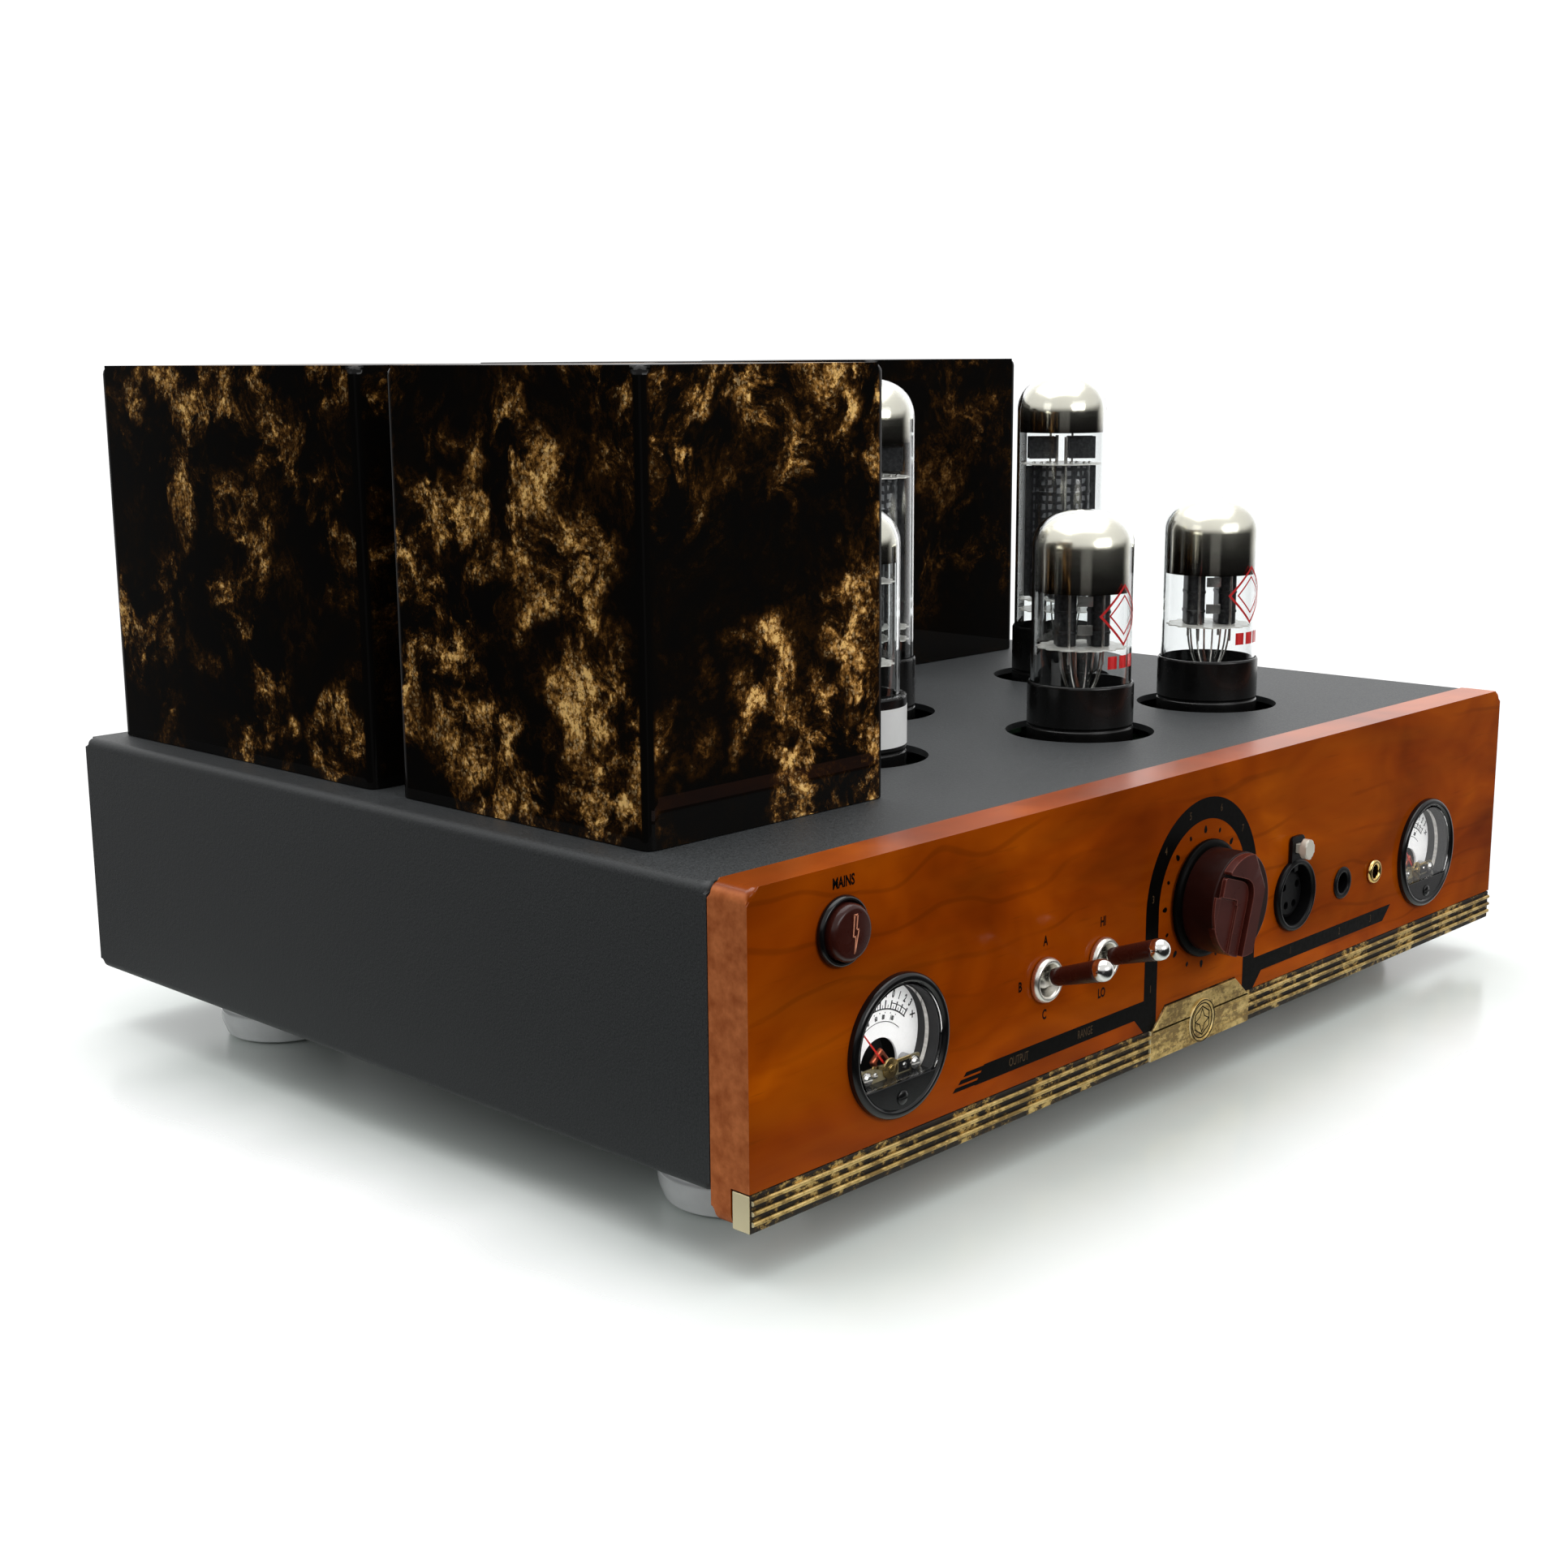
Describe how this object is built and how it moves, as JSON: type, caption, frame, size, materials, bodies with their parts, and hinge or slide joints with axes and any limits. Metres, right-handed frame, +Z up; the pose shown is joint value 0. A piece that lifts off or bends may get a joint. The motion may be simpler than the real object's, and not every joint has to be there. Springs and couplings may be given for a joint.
{
  "type": "tube amplifier",
  "caption": "Desktop tube headphone amplifier: wooden front with knob, toggles, level meters and sockets, dark steel chassis, covered transformers, plug-in glass tubes.",
  "frame": {"origin": "centre of the overall footprint, on the surface that the feet stand on", "axes": "+X to the right seen from the front, +Y towards the back, +Z up"},
  "size_m": [0.38, 0.3235, 0.2101],
  "materials": {
    "powder_coat": "fine matt texture",
    "cherry_wood": "clear satin varnish over cherry",
    "brass": "satin with black patina",
    "gloss_resin": "polished, gold flake clouds",
    "satin_aluminium": "turned, satin",
    "brown_bakelite": "glossy moulded",
    "black_plastic": "satin moulded",
    "chrome": "polished",
    "steel": "turned",
    "dial_paint": "matt white",
    "needle_red": "painted",
    "clear_window": "clear, polished",
    "tube_glass": "clear, blown",
    "tube_bakelite": "moulded black",
    "tube_metal": "dark carbonised plates",
    "tube_ceramic": "glazed ceramic",
    "transformer_iron": "varnished laminations",
    "circuit_board": "solder mask",
    "gold_plate": "gold plated, polished"
  },
  "bodies": {
    "chassis": {"chassis_shell": "powder_coat", "bottom_plate": "powder_coat", "front_panel": "cherry_wood", "brass_trim": "brass", "circuit_board": "circuit_board", "foot_front_left": "satin_aluminium", "foot_rear_left": "satin_aluminium", "foot_front_right": "satin_aluminium", "foot_rear_right": "satin_aluminium", "cover_choke": "gloss_resin", "filter_choke": "transformer_iron", "cover_mains": "gloss_resin", "mains_transformer": "transformer_iron", "cover_output_left": "gloss_resin", "output_left_transformer": "transformer_iron", "cover_output_right": "gloss_resin", "output_right_transformer": "transformer_iron", "driver_left_socket": "tube_ceramic", "driver_right_socket": "tube_ceramic", "power_left_socket": "tube_ceramic", "power_right_socket": "tube_ceramic", "rectifier_socket": "tube_ceramic", "meter_housing_left": "black_plastic", "meter_dial_left": "dial_paint", "meter_window_left": "clear_window", "toggle_body_left": "chrome", "meter_housing_right": "black_plastic", "meter_dial_right": "dial_paint", "meter_window_right": "clear_window", "toggle_body_right": "chrome", "power_bezel": "black_plastic", "volume_potentiometer": "steel", "locking_socket": "black_plastic", "large_jack": "black_plastic", "small_jack": "gold_plate", "mains_inlet": "black_plastic", "input_sockets": "gold_plate"},
    "power_button": {"power_button": "brown_bakelite"},
    "volume_control": {"volume_knob": "brown_bakelite", "volume_shaft": "steel"},
    "toggle_left": {"toggle_lever_left": "brown_bakelite"},
    "needle_left": {"meter_needle_left": "needle_red"},
    "toggle_right": {"toggle_lever_right": "brown_bakelite"},
    "needle_right": {"meter_needle_right": "needle_red"},
    "socket_tab": {"locking_socket_tab": "chrome"},
    "driver_left_tube": {"driver_left_glass": "tube_glass", "driver_left_base": "tube_bakelite", "driver_left_electrodes": "tube_metal"},
    "driver_right_tube": {"driver_right_glass": "tube_glass", "driver_right_base": "tube_bakelite", "driver_right_electrodes": "tube_metal"},
    "power_left_tube": {"power_left_glass": "tube_glass", "power_left_base": "tube_bakelite", "power_left_electrodes": "tube_metal"},
    "power_right_tube": {"power_right_glass": "tube_glass", "power_right_base": "tube_bakelite", "power_right_electrodes": "tube_metal"},
    "rectifier_tube": {"rectifier_glass": "tube_glass", "rectifier_base": "tube_bakelite", "rectifier_electrodes": "tube_metal"}
  },
  "joints": [
    {"name": "power_button_press", "type": "slide", "parent": "chassis", "child": "power_button", "axis": [0, 1, 0], "range_m": [0, 0.0025], "stiffness_N_per_m": 500, "springref_m": -0.001},
    {"name": "volume_turn", "type": "hinge", "parent": "chassis", "child": "volume_control", "pos_m": [0, -0.14004, 0.0566], "axis": [0, 1, 0], "range_deg": [-150, 150]},
    {"name": "toggle_left_tilt", "type": "hinge", "parent": "chassis", "child": "toggle_left", "pos_m": [-0.0775, -0.13964, 0.049], "axis": [1, 0, 0], "range_deg": [0, 36]},
    {"name": "toggle_right_tilt", "type": "hinge", "parent": "chassis", "child": "toggle_right", "pos_m": [-0.0511, -0.13964, 0.049], "axis": [1, 0, 0], "range_deg": [0, 36]},
    {"name": "needle_left_swing", "type": "hinge", "parent": "chassis", "child": "needle_left", "pos_m": [-0.1376, -0.13724, 0.0391], "axis": [0, 1, 0], "range_deg": [0, 80], "stiffness_Nm_per_rad": 0.00002, "springref_deg": -17.19},
    {"name": "needle_right_swing", "type": "hinge", "parent": "chassis", "child": "needle_right", "pos_m": [0.1376, -0.13724, 0.0391], "axis": [0, 1, 0], "range_deg": [0, 80], "stiffness_Nm_per_rad": 0.00002, "springref_deg": -17.19},
    {"name": "socket_tab_press", "type": "slide", "parent": "chassis", "child": "socket_tab", "axis": [0, 1, 0], "range_m": [0, 0.0015], "stiffness_N_per_m": 300, "springref_m": -0.001},
    {"name": "driver_left_tube_pull", "type": "slide", "parent": "chassis", "child": "driver_left_tube", "axis": [0, 0, 1], "range_m": [0, 0.015]},
    {"name": "driver_right_tube_pull", "type": "slide", "parent": "chassis", "child": "driver_right_tube", "axis": [0, 0, 1], "range_m": [0, 0.015]},
    {"name": "power_left_tube_pull", "type": "slide", "parent": "chassis", "child": "power_left_tube", "axis": [0, 0, 1], "range_m": [0, 0.015]},
    {"name": "power_right_tube_pull", "type": "slide", "parent": "chassis", "child": "power_right_tube", "axis": [0, 0, 1], "range_m": [0, 0.015]},
    {"name": "rectifier_tube_pull", "type": "slide", "parent": "chassis", "child": "rectifier_tube", "axis": [0, 0, 1], "range_m": [0, 0.015]}
  ]
}
